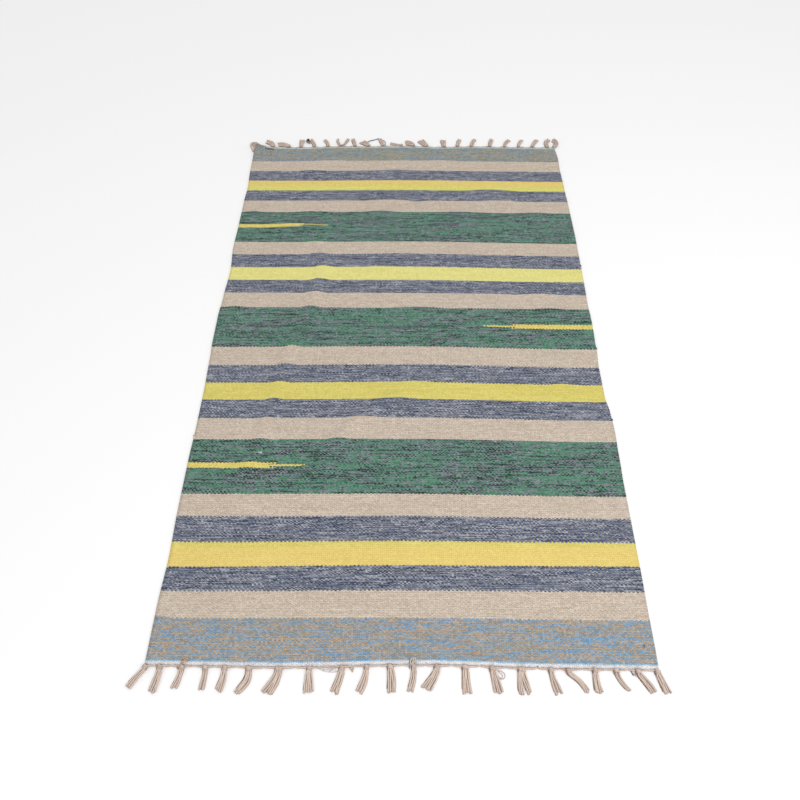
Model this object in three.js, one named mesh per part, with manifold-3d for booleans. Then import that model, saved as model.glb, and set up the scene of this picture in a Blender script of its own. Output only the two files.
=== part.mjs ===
// A flat-woven kilim rug, lying on the floor: one striped cloth and the knotted fringe at each of its ends.
// Millimetres, +Z up. The origin is in the middle of the cloth's underside, X runs across the rug and Y along it.
import * as THREE from "three";
import { mergeVertices } from "three/addons/utils/BufferGeometryUtils.js";
import Module from "manifold-3d";

const wasm = await Module();
wasm.setup();

// Driving sizes
const FIELD_WIDTH = 900;
const FIELD_LENGTH = 1500; // of the coloured stripes
const HEADING = 6; // plain white picks past the stripes, at each end of the cloth
const CLOTH_THICKNESS = 3;
const FRINGE_GAP = 0.35; // between the cloth's end and the fringe
const SWAG_DEPTH = 3; // the warp ends that run along the edge from knot to knot
const SWAG_HEIGHT = 2.2;
const TASSEL_ROOT = 1.5; // how far out from the cloth a tassel starts, among the swagged warp ends
const CLEAR_CELLS = 2; // of the cloth's length, at an end, that the tassels leave free
const CLEAR_GAP = 0.5; // beside the cloth there
const CLEAR_HEIGHT = 20;
const CELLS_ACROSS = 31;
const CELLS_ALONG = 40;

// How far the edges stray from straight, at a share of the way along each.
// The sides go from the near end to the far end, and a positive shift is to the right.
const LEFT_SIDE = [
  { share: 0, shift: 0 },
  { share: 0.07, shift: 0 },
  { share: 0.13, shift: 3 },
  { share: 0.2, shift: 1 },
  { share: 0.27, shift: 1 },
  { share: 0.34, shift: 3 },
  { share: 0.4, shift: 3 },
  { share: 0.46, shift: 1 },
  { share: 0.49, shift: -1 },
  { share: 0.55, shift: -1 },
  { share: 0.585, shift: 2 },
  { share: 0.65, shift: 6 },
  { share: 0.71, shift: 1 },
  { share: 0.77, shift: 3 },
  { share: 0.84, shift: 4 },
  { share: 0.87, shift: 6 },
  { share: 0.93, shift: 3 },
  { share: 0.975, shift: 3 },
  { share: 1, shift: 12 },
];
const RIGHT_SIDE = [
  { share: 0, shift: 2 },
  { share: 0.04, shift: 3 },
  { share: 0.14, shift: 5 },
  { share: 0.24, shift: 6 },
  { share: 0.29, shift: 8 },
  { share: 0.33, shift: 10 },
  { share: 0.36, shift: 8 },
  { share: 0.39, shift: 3 },
  { share: 0.44, shift: 3 },
  { share: 0.48, shift: 6 },
  { share: 0.54, shift: 8 },
  { share: 0.575, shift: 7 },
  { share: 0.65, shift: 9 },
  { share: 0.75, shift: 10 },
  { share: 0.81, shift: 9 },
  { share: 0.87, shift: 7 },
  { share: 0.93, shift: 5 },
  { share: 0.965, shift: 6 },
  { share: 1, shift: 2 },
];
// The ends go from left to right, and a positive shift is towards the far end.
const NEAR_END = [
  { share: 0, shift: 1 },
  { share: 0.25, shift: -1 },
  { share: 0.55, shift: 5 },
  { share: 0.8, shift: 0 },
  { share: 1, shift: -1 },
];
const FAR_END = [
  { share: 0, shift: -2 },
  { share: 0.13, shift: -3 },
  { share: 0.3, shift: 3 },
  { share: 0.52, shift: 6 },
  { share: 0.62, shift: 2 },
  { share: 0.72, shift: 5 },
  { share: 1, shift: 2 },
];

// Points on the crests of the creases that stand off the floor, from the left side and the near end,
// with the height of the crest there and how far the slope reaches on each side of it.
const LONG_CREASE = [
  { right: 100, along: 300, rise: 0, reach: 26 },
  { right: 130, along: 401, rise: 4, reach: 26 },
  { right: 147, along: 467, rise: 5, reach: 27 },
  { right: 165, along: 572, rise: 6, reach: 28 },
  { right: 190, along: 725, rise: 7, reach: 28 },
  { right: 222, along: 850, rise: 7, reach: 29 },
  { right: 245, along: 994, rise: 6, reach: 34 },
  { right: 228, along: 1045, rise: 5.5, reach: 42 },
  { right: 220, along: 1110, rise: 0, reach: 46 },
];
const SLANTING_CREASE = [
  { right: 285, along: 430, rise: 0, reach: 26 },
  { right: 312, along: 467, rise: 6, reach: 28 },
  { right: 357, along: 521, rise: 7.5, reach: 32 },
  { right: 442, along: 572, rise: 5.5, reach: 42 },
  { right: 475, along: 619, rise: 3.5, reach: 50 },
  { right: 550, along: 700, rise: 0, reach: 55 },
];
const CREASES = [LONG_CREASE, SLANTING_CREASE];
const CURLED_CORNER = { right: 12, along: FIELD_LENGTH, rise: 13, reach: 60 }; // at the far left

// A tassel's width and height at a share of its length: root, knot, neck and spread tip.
const TASSEL = [
  { share: 0, width: 9, height: 6 },
  { share: 0.1, width: 11, height: 8 },
  { share: 0.2, width: 9.5, height: 6 },
  { share: 0.35, width: 9.5, height: 5 },
  { share: 0.65, width: 12, height: 5 },
  { share: 1, width: 13, height: 4 },
];
const KNOT_SHARE = 0.22; // a tassel leaves the cloth straight and has its own direction from here on
const BEND_SHARE = 0.6; // where it has the direction of its middle
// The tassels from left to right: the knot's place from the left side, the direction past the knot, in the
// middle and at the tip, in degrees from straight out and positive to the right, the length, the size of its
// yarn bundle, and how wide the tip spreads against an even tassel.
const NEAR_TASSELS = [
  { right: 2, root: -38, middle: -36, tip: -32, length: 45, bundle: 1, spread: 1 },
  { right: 28, root: -5, middle: -9, tip: -14, length: 47, bundle: 1.1, spread: 1.05 },
  { right: 67, root: -8, middle: -18, tip: -24, length: 41, bundle: 1, spread: 0.85 },
  { right: 108, root: 4, middle: -6, tip: -14, length: 41, bundle: 0.95, spread: 0.75 },
  { right: 142, root: -4, middle: -10, tip: -14, length: 43, bundle: 1, spread: 1.15 },
  { right: 183, root: -10, middle: -33, tip: -38, length: 50, bundle: 0.8, spread: 0.7 },
  { right: 186, root: 2, middle: -34, tip: -50, length: 50, bundle: 0.7, spread: 0.6 },
  { right: 234, root: -22, middle: -34, tip: -38, length: 50, bundle: 0.75, spread: 0.9 },
  { right: 239, root: -15, middle: -25, tip: -29, length: 48, bundle: 0.8, spread: 1 },
  { right: 290, root: 0, middle: 4, tip: 8, length: 45, bundle: 0.9, spread: 1.7 },
  { right: 347, root: -13, middle: -18, tip: -22, length: 48, bundle: 1.05, spread: 1.1 },
  { right: 390, root: -8, middle: -20, tip: -32, length: 47, bundle: 0.8, spread: 1.25 },
  { right: 432, root: 6, middle: 2, tip: 0, length: 47, bundle: 1.15, spread: 1 },
  { right: 473, root: -2, middle: -12, tip: -22, length: 47, bundle: 0.85, spread: 1.05 },
  { right: 514, root: -24, middle: -32, tip: -34, length: 48, bundle: 1.1, spread: 1.35 },
  { right: 563, root: 2, middle: 3, tip: 5, length: 47, bundle: 1.2, spread: 1.05 },
  { right: 611, root: 13, middle: 13, tip: 12, length: 46, bundle: 1.15, spread: 1 },
  { right: 659, root: -4, middle: -1, tip: 4, length: 45, bundle: 0.8, spread: 1 },
  { right: 664, root: 8, middle: 18, tip: 14, length: 45, bundle: 0.75, spread: 1 },
  { right: 713, root: 12, middle: 15, tip: 18, length: 44, bundle: 0.9, spread: 1.15 },
  { right: 743, root: 58, middle: 42, tip: 14, length: 52, bundle: 0.85, spread: 0.9 },
  { right: 790, root: 0, middle: 4, tip: 10, length: 41, bundle: 0.95, spread: 1.2 },
  { right: 827, root: 20, middle: 36, tip: 40, length: 41, bundle: 0.95, spread: 0.55 },
  { right: 865, root: 36, middle: 36, tip: 22, length: 46, bundle: 1, spread: 0.95 },
  { right: 899, root: 18, middle: 19, tip: 22, length: 42, bundle: 1.05, spread: 1 },
];
const FAR_TASSELS = [
  { right: 14, root: -50, middle: -198, tip: -196, length: 80, bundle: 0.9, spread: 0.6 },
  { right: 57, root: -20, middle: -50, tip: -85, length: 42, bundle: 1.3, spread: 1.1 },
  { right: 104, root: -52, middle: -80, tip: -105, length: 42, bundle: 1.3, spread: 1.2 },
  { right: 141, root: 0, middle: 2, tip: 4, length: 37, bundle: 1.1, spread: 1 },
  { right: 181, root: -14, middle: -26, tip: -34, length: 44, bundle: 1, spread: 1 },
  { right: 222, root: -12, middle: -24, tip: -60, length: 40, bundle: 0.95, spread: 0.9 },
  { right: 259, root: -30, middle: -14, tip: 4, length: 40, bundle: 0.7, spread: 0.9 },
  { right: 266, root: 32, middle: 20, tip: 12, length: 42, bundle: 0.65, spread: 0.9 },
  { right: 303, root: -14, middle: -14, tip: -6, length: 40, bundle: 0.95, spread: 0.85 },
  { right: 343, root: -36, middle: -52, tip: -46, length: 33, bundle: 1.4, spread: 1.1 },
  { right: 387, root: -16, middle: -16, tip: -10, length: 40, bundle: 1, spread: 0.9 },
  { right: 443, root: -76, middle: -78, tip: -68, length: 40, bundle: 0.9, spread: 0.8 },
  { right: 477, root: -34, middle: -64, tip: -100, length: 32, bundle: 1.55, spread: 1.1 },
  { right: 517, root: -26, middle: -35, tip: -42, length: 37, bundle: 1.6, spread: 1.05 },
  { right: 571, root: -6, middle: -2, tip: -10, length: 37, bundle: 1.25, spread: 1 },
  { right: 611, root: 11, middle: 16, tip: 16, length: 40, bundle: 1, spread: 0.95 },
  { right: 653, root: 14, middle: 22, tip: 58, length: 42, bundle: 0.95, spread: 0.9 },
  { right: 708, root: 10, middle: 16, tip: 20, length: 41, bundle: 0.95, spread: 0.9 },
  { right: 753, root: 14, middle: 30, tip: 48, length: 42, bundle: 0.95, spread: 0.9 },
  { right: 795, root: 14, middle: 24, tip: 28, length: 40, bundle: 0.85, spread: 1 },
  { right: 836, root: 22, middle: 30, tip: 28, length: 43, bundle: 1, spread: 0.9 },
  { right: 881, root: -6, middle: 18, tip: 54, length: 44, bundle: 1.2, spread: 1 },
  { right: 903, root: 34, middle: -5, tip: -66, length: 45, bundle: 1.25, spread: 1 },
];

// The value of one column of a table between two of its rows, eased so that it has no corner at a row.
function eased(rows, share, column) {
  const next = Math.max(1, rows.findIndex((row) => row.share >= share));
  const [from, to] = [rows[next - 1], rows[next]];
  const part = THREE.MathUtils.smoothstep(share, from.share, to.share);
  return THREE.MathUtils.lerp(from[column], to[column], part);
}

// The height of one crease's slope at a place: the highest that any stretch between two of its points gives.
function creaseLift(crease, right, along) {
  let lift = 0;
  for (let i = 1; i < crease.length; i++) {
    const [from, to] = [crease[i - 1], crease[i]];
    const run = new THREE.Vector2(to.right - from.right, to.along - from.along);
    const way = new THREE.Vector2(right - from.right, along - from.along);
    const part = THREE.MathUtils.clamp(way.dot(run) / run.lengthSq(), 0, 1);
    const distance = way.distanceTo(run.multiplyScalar(part));
    const reach = THREE.MathUtils.lerp(from.reach, to.reach, part);
    const rise = THREE.MathUtils.lerp(from.rise, to.rise, part);
    const slope = Math.cos((Math.min(distance / reach, 1) * Math.PI) / 2) ** 2;
    lift = Math.max(lift, rise * slope);
  }
  return lift;
}

// How far the cloth's underside stands off the floor.
function clothLift(right, along) {
  const corner = CURLED_CORNER;
  const distance = Math.hypot(right - corner.right, along - corner.along);
  const curl = corner.rise * Math.max(0, 1 - distance / corner.reach) ** 2;
  return Math.max(curl, ...CREASES.map((crease) => creaseLift(crease, right, along)));
}

// The place of a point of the cloth, from its shares of the width and the length, from the left side and near end.
function clothPlace(across, along) {
  const left = eased(LEFT_SIDE, along, "shift");
  const right = FIELD_WIDTH + eased(RIGHT_SIDE, along, "shift");
  const near = eased(NEAR_END, across, "shift") - HEADING;
  const far = FIELD_LENGTH + HEADING + eased(FAR_END, across, "shift");
  return {
    right: THREE.MathUtils.lerp(left, right, across),
    along: THREE.MathUtils.lerp(near, far, along),
  };
}

// A box divided into cells, with every corner of a cell moved to its place on the lying cloth.
function clothGeometry() {
  const box = new THREE.BoxGeometry(1, 1, 1, CELLS_ACROSS, CELLS_ALONG, 1);
  const position = box.getAttribute("position");
  for (let i = 0; i < position.count; i++) {
    const place = clothPlace(position.getX(i) + 0.5, position.getY(i) + 0.5);
    const lift = clothLift(place.right, place.along);
    const height = (position.getZ(i) + 0.5) * CLOTH_THICKNESS;
    position.setXYZ(
      i,
      place.right - FIELD_WIDTH / 2,
      place.along - FIELD_LENGTH / 2,
      lift + height,
    );
  }
  box.computeVertexNormals();
  return box;
}

// A closed mesh as a solid that can be joined to others.
function solidOf(geometry) {
  const bare = geometry.clone();
  bare.deleteAttribute("normal");
  bare.deleteAttribute("uv");
  const merged = mergeVertices(bare, 1e-4);
  return new wasm.Manifold(
    new wasm.Mesh({
      numProp: 3,
      vertProperties: new Float32Array(merged.getAttribute("position").array),
      triVerts: new Uint32Array(merged.index.array),
    }),
  );
}

function geometryOf(solid) {
  const mesh = solid.getMesh();
  const geometry = new THREE.BufferGeometry();
  geometry.setAttribute("position", new THREE.BufferAttribute(mesh.vertProperties, 3));
  geometry.setIndex(new THREE.BufferAttribute(mesh.triVerts, 1));
  geometry.computeVertexNormals();
  return geometry;
}

// Points along one end of the cloth, moved out from it. outward is -1 at the near end and 1 at the far end.
function endLine(outward, out) {
  const line = [];
  for (let i = 0; i <= CELLS_ACROSS; i++) {
    const edge = clothPlace(i / CELLS_ACROSS, outward > 0 ? 1 : 0);
    const y = edge.along - FIELD_LENGTH / 2 + outward * out;
    line.push(new THREE.Vector2(edge.right - FIELD_WIDTH / 2, y));
  }
  return line;
}

function slabSolid(outline, height) {
  const options = { depth: height, bevelEnabled: false };
  return solidOf(new THREE.ExtrudeGeometry(new THREE.Shape(outline), options));
}

// The swagged warp ends: a low strip along one end of the cloth.
function swagSolid(outward) {
  const inner = endLine(outward, FRINGE_GAP);
  const outer = endLine(outward, FRINGE_GAP + SWAG_DEPTH);
  return slabSolid([...inner, ...outer.reverse()], SWAG_HEIGHT);
}

// Points along one side of the cloth from an end of it inwards, moved out by the gap.
function sideLine(across, outward) {
  const line = [];
  for (let i = 0; i <= CLEAR_CELLS; i++) {
    const share = i / CELLS_ALONG;
    const edge = clothPlace(across, outward > 0 ? 1 - share : share);
    const out = across > 0 ? CLEAR_GAP : -CLEAR_GAP;
    line.push(new THREE.Vector2(edge.right - FIELD_WIDTH / 2 + out, edge.along - FIELD_LENGTH / 2));
  }
  return line;
}

// The space that the end of the cloth takes up, which a tassel leaves free.
function clothSpace(outward) {
  const left = sideLine(0, outward);
  const right = sideLine(1, outward);
  const corners = endLine(outward, FRINGE_GAP);
  corners[0].x -= CLEAR_GAP;
  corners[corners.length - 1].x += CLEAR_GAP;
  return slabSolid([...left.reverse(), ...corners, ...right], CLEAR_HEIGHT);
}

// Corners of a tassel's section, as shares of its width and height: flat below and arched above.
const TASSEL_SECTION = [
  { side: -0.5, up: 0 },
  { side: 0.5, up: 0 },
  { side: 0.5, up: 0.5 },
  { side: 0.25, up: 1 },
  { side: -0.25, up: 1 },
  { side: -0.5, up: 0.5 },
];

// A tassel lies on the floor along a bending path from its root in the swag to its spread tip.
function tasselSolid(tassel, outward) {
  const start = clothPlace(tassel.right / FIELD_WIDTH, outward > 0 ? 1 : 0);
  const place = new THREE.Vector2(
    start.right - FIELD_WIDTH / 2,
    start.along - FIELD_LENGTH / 2 + outward * TASSEL_ROOT,
  );
  const bends = [
    { share: 0, degrees: 0 },
    { share: KNOT_SHARE, degrees: tassel.root },
    { share: BEND_SHARE, degrees: tassel.middle },
    { share: 1, degrees: tassel.tip },
  ];
  const corners = [];
  const steps = 20;
  for (let step = 0; step <= steps; step++) {
    const share = step / steps;
    const turn = THREE.MathUtils.degToRad(eased(bends, share, "degrees"));
    const way = new THREE.Vector2(Math.sin(turn), outward * Math.cos(turn));
    const section = TASSEL.find((row) => Math.abs(row.share - share) < 0.5 / steps);
    if (section) {
      const aside = new THREE.Vector2(way.y, -way.x);
      const spreading = THREE.MathUtils.lerp(1, tassel.spread, share);
      for (const corner of TASSEL_SECTION) {
        const side = corner.side * section.width * tassel.bundle * spreading;
        corners.push(
          place.x + aside.x * side,
          place.y + aside.y * side,
          corner.up * section.height,
        );
      }
    }
    place.addScaledVector(way, tassel.length / steps);
  }
  return solidOf(loftGeometry(corners, TASSEL_SECTION.length));
}

// A closed skin over sections that follow each other, each with the same number of corners.
function loftGeometry(corners, sides) {
  const sections = corners.length / 3 / sides;
  const faces = [];
  for (let s = 0; s + 1 < sections; s++) {
    for (let i = 0; i < sides; i++) {
      const [a, b] = [s * sides + i, s * sides + ((i + 1) % sides)];
      faces.push(a, b + sides, b, a, a + sides, b + sides);
    }
  }
  const last = (sections - 1) * sides;
  for (let i = 1; i + 1 < sides; i++) {
    faces.push(0, i, i + 1);
    faces.push(last, last + i + 1, last + i);
  }
  const geometry = new THREE.BufferGeometry();
  geometry.setAttribute("position", new THREE.Float32BufferAttribute(corners, 3));
  geometry.setIndex(faces);
  return geometry;
}

// The whole fringe of one end, one comb of swag and tassels.
function fringeGeometry(tassels, outward) {
  let comb = swagSolid(outward);
  for (const tassel of tassels) {
    comb = comb.add(tasselSolid(tassel, outward));
  }
  return geometryOf(comb.subtract(clothSpace(outward)));
}

function cottonMaterial(colour, roughness) {
  return new THREE.MeshStandardMaterial({ color: colour, roughness, metalness: 0 });
}

function piece(name, geometry, material) {
  const mesh = new THREE.Mesh(geometry, material);
  mesh.name = name;
  return mesh;
}

const wovenCotton = cottonMaterial(0x8f9a8c, 0.95);
const warpCotton = cottonMaterial(0xd2c3b4, 0.9);

const rug = new THREE.Group();
rug.name = "kilim_rug";
rug.add(piece("field", clothGeometry(), wovenCotton));
rug.add(piece("fringe_near", fringeGeometry(NEAR_TASSELS, -1), warpCotton));
rug.add(piece("fringe_far", fringeGeometry(FAR_TASSELS, 1), warpCotton));

export default rug;
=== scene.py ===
import math
import random
from collections import namedtuple

import bpy
from mathutils import Matrix, Vector


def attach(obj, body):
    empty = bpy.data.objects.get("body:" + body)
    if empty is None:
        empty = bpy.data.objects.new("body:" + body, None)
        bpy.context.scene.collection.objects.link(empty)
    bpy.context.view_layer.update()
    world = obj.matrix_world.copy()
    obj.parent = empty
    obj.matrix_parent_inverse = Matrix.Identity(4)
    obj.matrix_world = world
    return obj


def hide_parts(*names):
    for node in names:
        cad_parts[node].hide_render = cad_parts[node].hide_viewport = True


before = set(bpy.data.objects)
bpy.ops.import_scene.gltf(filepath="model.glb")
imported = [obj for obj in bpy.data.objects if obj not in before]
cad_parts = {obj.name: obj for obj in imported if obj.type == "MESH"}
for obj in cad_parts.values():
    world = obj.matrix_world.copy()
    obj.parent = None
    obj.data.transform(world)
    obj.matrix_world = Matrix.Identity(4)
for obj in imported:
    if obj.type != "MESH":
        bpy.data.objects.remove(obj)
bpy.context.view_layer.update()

MM = 0.001

# The loom's sizes, in millimetres from the left side and the near end of the stripes
FIELD_WIDTH = 900
FIELD_LENGTH = 1500
HEADING = 6
CLOTH_THICKNESS = 3
WARP_PITCH = 3.9
PICK = 2.2
FLOAT_HEIGHT = 2 * PICK

Stripe = namedtuple("Stripe", "yarn far_edge")
Sway = namedtuple("Sway", "along left middle right")
Wave = namedtuple("Wave", "right along height reach")
Crest = namedtuple("Crest", "right along rise reach")
Inlay = namedtuple("Inlay", "along side reaches")
Tassel = namedtuple("Tassel", "right root middle tip length bundle spread")
LooseYarn = namedtuple("LooseYarn", "dye thickness points")
Nub = namedtuple("Nub", "side along")
Mark = namedtuple("Mark", "right along width depth colour")

# The stripes from the near end to the far end
STRIPES = [
    Stripe("sky", 2),
    Stripe("sky_tan", 78),
    Stripe("beige", 131),
    Stripe("navy", 181),
    Stripe("amber", 220),
    Stripe("lemon", 230),
    Stripe("navy", 283),
    Stripe("beige", 333),
    Stripe("green", 466),
    Stripe("beige", 521),
    Stripe("navy", 572),
    Stripe("mustard", 619),
    Stripe("navy", 670),
    Stripe("beige", 725),
    Stripe("green", 850),
    Stripe("beige", 900),
    Stripe("navy", 946),
    Stripe("straw", 993),
    Stripe("navy", 1042),
    Stripe("beige", 1089),
    Stripe("green", 1210),
    Stripe("beige", 1259),
    Stripe("navy", 1304),
    Stripe("lime", 1322),
    Stripe("amber", 1348),
    Stripe("navy", 1393),
    Stripe("beige", 1440),
    Stripe("slate_tan", FIELD_LENGTH - 2),
    Stripe("slate", FIELD_LENGTH),
    Stripe("ice", FIELD_LENGTH + HEADING),
]

# How far the picks sway towards the far end, near the left side, in the middle and near the right side
SWAY_PLACES = (50, 470, 860)
SWAYS = [
    Sway(80, -1, 2, 0),
    Sway(180, -5, 1, 1),
    Sway(300, -1, 2, -2),
    Sway(520, -3, 2, -4),
    Sway(700, -3, 2, -5),
    Sway(850, 0, 0, -2),
    Sway(900, -1, 1, -4),
    Sway(1040, -4, 2, -5),
    Sway(1250, -3, 1, -3),
    Sway(1440, -5, 2, -2),
]
# How far in from each end the picks follow that end instead
ENDS_DEPTH = 60

# Short waves in single lines of the weave, as wide as twice their reach
WAVES = [
    Wave(0, 78, 4, 45),
    Wave(810, 619, 3, 45),
    Wave(35, 850, 3, 35),
    Wave(480, 850, 5, 80),
    Wave(805, 850, 3, 60),
    Wave(785, 900, 4, 60),
    Wave(385, 993, 2, 60),
    Wave(430, 1042, 2, 70),
    Wave(170, 1153, 6, 120),
    Wave(35, 1210, 4, 35),
    Wave(190, 1210, 4, 70),
    Wave(380, 1210, 6, 60),
    Wave(600, 1210, 3, 80),
    Wave(800, 1210, 4, 70),
    Wave(410, 1259, 4, 80),
    Wave(480, 1259, -4, 40),
    Wave(715, 1259, 5, 70),
    Wave(690, 1304, 7, 90),
    Wave(180, 1393, 4, 60),
    Wave(415, 1393, 4, 60),
    Wave(225, 1440, 4, 80),
    Wave(560, 1440, 3, 60),
]
# How far a short wave is felt in the lines before and after its own
WAVE_DEPTH = 34

# The edges of the lying cloth: share of the way along, and shift to the right or towards the far end
LEFT_SIDE = [
    (0, 0), (0.07, 0), (0.13, 3), (0.2, 1), (0.27, 1), (0.34, 3), (0.4, 3), (0.46, 1), (0.49, -1),
    (0.55, -1), (0.585, 2), (0.65, 6), (0.71, 1), (0.77, 3), (0.84, 4), (0.87, 6), (0.93, 3),
    (0.975, 3), (1, 12),
]
RIGHT_SIDE = [
    (0, 2), (0.04, 3), (0.14, 5), (0.24, 6), (0.29, 8), (0.33, 10), (0.36, 8), (0.39, 3), (0.44, 3),
    (0.48, 6), (0.54, 8), (0.575, 7), (0.65, 9), (0.75, 10), (0.81, 9), (0.87, 7), (0.93, 5),
    (0.965, 6), (1, 2),
]
NEAR_END = [(0, 1), (0.25, -1), (0.55, 5), (0.8, 0), (1, -1)]
FAR_END = [(0, -2), (0.13, -3), (0.3, 3), (0.52, 6), (0.62, 2), (0.72, 5), (1, 2)]

# Points on the crests of the creases: height off the floor, and how far the slope reaches to each side
LONG_CREASE = [
    Crest(100, 300, 0, 26),
    Crest(130, 401, 4, 26),
    Crest(147, 467, 5, 27),
    Crest(165, 572, 6, 28),
    Crest(190, 725, 7, 28),
    Crest(222, 850, 7, 29),
    Crest(245, 994, 6, 34),
    Crest(228, 1045, 5.5, 42),
    Crest(220, 1110, 0, 46),
]
SLANTING_CREASE = [
    Crest(285, 430, 0, 26),
    Crest(312, 467, 6, 28),
    Crest(357, 521, 7.5, 32),
    Crest(442, 572, 5.5, 42),
    Crest(475, 619, 3.5, 50),
    Crest(550, 700, 0, 55),
]
# The far left corner: where it stands highest, how high, and how far the curl reaches
CURLED_CORNER = Crest(12, FIELD_LENGTH, 13, 60)

# Yellow inlays in the green stripes: how far each of their picks reaches in, from the nearest pick on
INLAYS = [
    Inlay(401, "left", (184, 171, 236, 244, 170, 184)),
    Inlay(793, "right", (195, 185, 252, 264, 184, 194)),
    Inlay(1153, "left", (166, 173, 165, 240, 172, 176)),
]

# The tassels from left to right: knot's place, direction past the knot, in the middle and at the tip in
# degrees from straight out, length, thickness of the bundle, and how much the tip spreads
NEAR_TASSELS = [
    Tassel(2, -38, -36, -32, 45, 1, 1),
    Tassel(28, -5, -9, -14, 47, 1.1, 1.05),
    Tassel(67, -8, -18, -24, 41, 1, 0.85),
    Tassel(108, 4, -6, -14, 41, 0.95, 0.75),
    Tassel(142, -4, -10, -14, 43, 1, 1.15),
    Tassel(183, -10, -33, -38, 50, 0.8, 0.7),
    Tassel(186, 2, -34, -50, 50, 0.7, 0.6),
    Tassel(234, -22, -34, -38, 50, 0.75, 0.9),
    Tassel(239, -15, -25, -29, 48, 0.8, 1),
    Tassel(290, 0, 4, 8, 45, 0.9, 1.7),
    Tassel(347, -13, -18, -22, 48, 1.05, 1.1),
    Tassel(390, -8, -20, -32, 47, 0.8, 1.25),
    Tassel(432, 6, 2, 0, 47, 1.15, 1),
    Tassel(473, -2, -12, -22, 47, 0.85, 1.05),
    Tassel(514, -24, -32, -34, 48, 1.1, 1.35),
    Tassel(563, 2, 3, 5, 47, 1.2, 1.05),
    Tassel(611, 13, 13, 12, 46, 1.15, 1),
    Tassel(659, -4, -1, 4, 45, 0.8, 1),
    Tassel(664, 8, 18, 14, 45, 0.75, 1),
    Tassel(713, 12, 15, 18, 44, 0.9, 1.15),
    Tassel(743, 58, 42, 14, 52, 0.85, 0.9),
    Tassel(790, 0, 4, 10, 41, 0.95, 1.2),
    Tassel(827, 20, 36, 40, 41, 0.95, 0.55),
    Tassel(865, 36, 36, 22, 46, 1, 0.95),
    Tassel(899, 18, 19, 22, 42, 1.05, 1),
]
FAR_TASSELS = [
    Tassel(14, -50, -198, -196, 80, 0.9, 0.6),
    Tassel(57, -20, -50, -85, 42, 1.3, 1.1),
    Tassel(104, -52, -80, -105, 42, 1.3, 1.2),
    Tassel(141, 0, 2, 4, 37, 1.1, 1),
    Tassel(181, -14, -26, -34, 44, 1, 1),
    Tassel(222, -12, -24, -60, 40, 0.95, 0.9),
    Tassel(259, -30, -14, 4, 40, 0.7, 0.9),
    Tassel(266, 32, 20, 12, 42, 0.65, 0.9),
    Tassel(303, -14, -14, -6, 40, 0.95, 0.85),
    Tassel(343, -36, -52, -46, 33, 1.4, 1.1),
    Tassel(387, -16, -16, -10, 40, 1, 0.9),
    Tassel(443, -76, -78, -68, 40, 0.9, 0.8),
    Tassel(477, -34, -64, -100, 32, 1.55, 1.1),
    Tassel(517, -26, -35, -42, 37, 1.6, 1.05),
    Tassel(571, -6, -2, -10, 37, 1.25, 1),
    Tassel(611, 11, 16, 16, 40, 1, 0.95),
    Tassel(653, 14, 22, 58, 42, 0.95, 0.9),
    Tassel(708, 10, 16, 20, 41, 0.95, 0.9),
    Tassel(753, 14, 30, 48, 42, 0.95, 0.9),
    Tassel(795, 14, 24, 28, 40, 0.85, 1),
    Tassel(836, 22, 30, 28, 43, 1, 0.9),
    Tassel(881, -6, 18, 54, 44, 1.2, 1),
    Tassel(903, 34, -5, -66, 45, 1.25, 1),
]

# Yarn ends that lie apart from the bundles, through points given as right, along and height
NEAR_LOOSE = [
    LooseYarn("brown", 1.3, ((63, 2, 3.8), (66, 5, 4.6), (72, 5, 5), (77, 2, 3.8))),
    LooseYarn("brown", 1.2, ((66, -7, 4), (67, 0, 5.4), (71, 2, 5.8), (75, 0, 4.6))),
    LooseYarn("brown", 1.1, ((57, -9, 1.4), (60, -12, 1.6), (62, -7, 2.4), (65, -2, 4.6))),
    LooseYarn("pale", 1.3, (
        (467, -5, 4), (467, 3, 5), (470, 8, 4.6), (475, 8, 4.6), (476, 3, 5), (476, -4, 4),
    )),
    LooseYarn("pale", 2.2, ((471, -6, 4.4), (471, 0, 5), (472, 4, 4.8), (472, 8, 4.2))),
    LooseYarn("pale", 1.2, ((469, -5, 6), (470, 0, 7), (473, 3, 6.8), (475, -2, 5.6))),
    # A greyed yarn as painted shadow at the left of the loop
    LooseYarn("painted_shadow", 0.5, ((465, -9, 1.4), (465, -3, 3), (465, 3, 3.8), (467, 7, 4))),
    LooseYarn("white", 0.45, (
        (296, -5, 2), (308, -11, 1), (322, -15, 0.8), (334, -10, 1), (341, -5, 2),
    )),
    LooseYarn("white", 0.45, ((300, -4, 2), (312, -9, 1), (326, -12, 0.8), (337, -7, 1), (344, -4, 2))),
    LooseYarn("white", 0.45, ((304, -4, 2), (318, -8, 1), (330, -9, 1), (338, -4, 2.5))),
    LooseYarn("white", 0.45, ((308, -4, 2), (316, -13, 0.8), (330, -16, 0.8), (345, -12, 0.8))),
    LooseYarn("white", 0.4, ((326, -4, 2), (332, -8, 1.2), (336, -13, 0.8))),
    LooseYarn("brown", 0.9, ((352, -5, 3), (358, -7, 1.6), (362, -10, 1.3), (366, -15, 1.2))),
    LooseYarn("undyed", 0.9, ((356, -4, 3), (362, -5, 2), (367, -9, 1.2), (364, -14, 1.2))),
    LooseYarn("undyed", 0.5, (
        (620, -12, 3), (627, -13, 1.4), (632, -18, 0.8), (629, -25, 0.8), (622, -25, 2),
    )),
    LooseYarn("undyed", 0.45, (
        (619, -10, 3), (624, -16, 1.6), (628, -20, 1), (624, -24, 1), (620, -20, 2),
    )),
    LooseYarn("slate", 0.8, ((851, -3, 2), (852, -8, 1.2), (854, -13, 1.2), (856, -18, 1.2))),
    LooseYarn("white", 0.6, ((856, -7, 2), (859, -13, 1.2), (860, -20, 0.9), (858, -15, 0.9))),
    LooseYarn("brown", 1, ((730, -7, 1.5), (735, -9, 2), (739, -7, 3))),
]
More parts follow.
